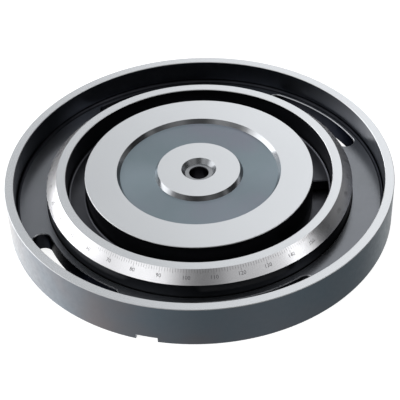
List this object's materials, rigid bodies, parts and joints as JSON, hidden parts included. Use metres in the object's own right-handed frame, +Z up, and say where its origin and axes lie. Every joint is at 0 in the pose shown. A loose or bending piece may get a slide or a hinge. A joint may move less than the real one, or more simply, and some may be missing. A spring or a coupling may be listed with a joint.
{
  "type": "rotation stage",
  "caption": "Low round rotary table: flat base with arc clamp slots, ground turntable, bevelled degree dial and centre bore on a crossed-roller bearing.",
  "frame": {"origin": "centre of the underside, on the spin axis", "axes": "+Z up along the spin axis; the two underside keyways lie on -Y and +Y, and the dial reads 90 at -Y at rest"},
  "size_m": [0.3, 0.3, 0.035],
  "materials": {
    "blued_steel": "blackened steel, satin, ground on top",
    "table_steel": "ground on top, blued elsewhere",
    "dial_steel": "fine turned, engraved",
    "hub_steel": "ground",
    "bearing_steel": "ground",
    "roller_steel": "polished",
    "spacer_plastic": "matt",
    "clamp_steel": "turned",
    "shim_steel": "rolled",
    "felt": "felt",
    "screw_steel": "black oxide",
    "dowel_steel": "ground",
    "bush_steel": "bored"
  },
  "bodies": {
    "base": {"base_housing": "blued_steel", "bearing_outer_lower": "bearing_steel", "bearing_outer_upper": "bearing_steel", "preload_shim": "shim_steel", "outer_clamp_ring": "clamp_steel", "outer_clamp_screws": "screw_steel", "felt_seal": "felt"},
    "roller_train": {"bearing_rollers": "roller_steel", "roller_spacers": "spacer_plastic"},
    "rotor": {"bearing_inner_ring": "bearing_steel", "turntable": "table_steel", "inner_clamp_ring": "clamp_steel", "inner_clamp_screws": "screw_steel", "dial_ring": "dial_steel", "dial_ring_screws": "screw_steel", "dial_ring_dowels": "dowel_steel", "centre_hub": "hub_steel", "hub_screws": "screw_steel", "hub_dowels": "dowel_steel", "centre_bush": "bush_steel"}
  },
  "joints": [
    {"name": "rotor_spin", "type": "hinge", "parent": "base", "child": "rotor", "pos_m": [0, 0, 0.012], "axis": [0, 0, 1], "continuous": true},
    {"name": "roller_train_spin", "type": "hinge", "parent": "base", "child": "roller_train", "pos_m": [0, 0, 0.012], "axis": [0, 0, 1], "continuous": true}
  ],
  "couplings": [
    {"joint": "roller_train_spin", "follows": "rotor_spin", "ratio": 0.47824}
  ]
}
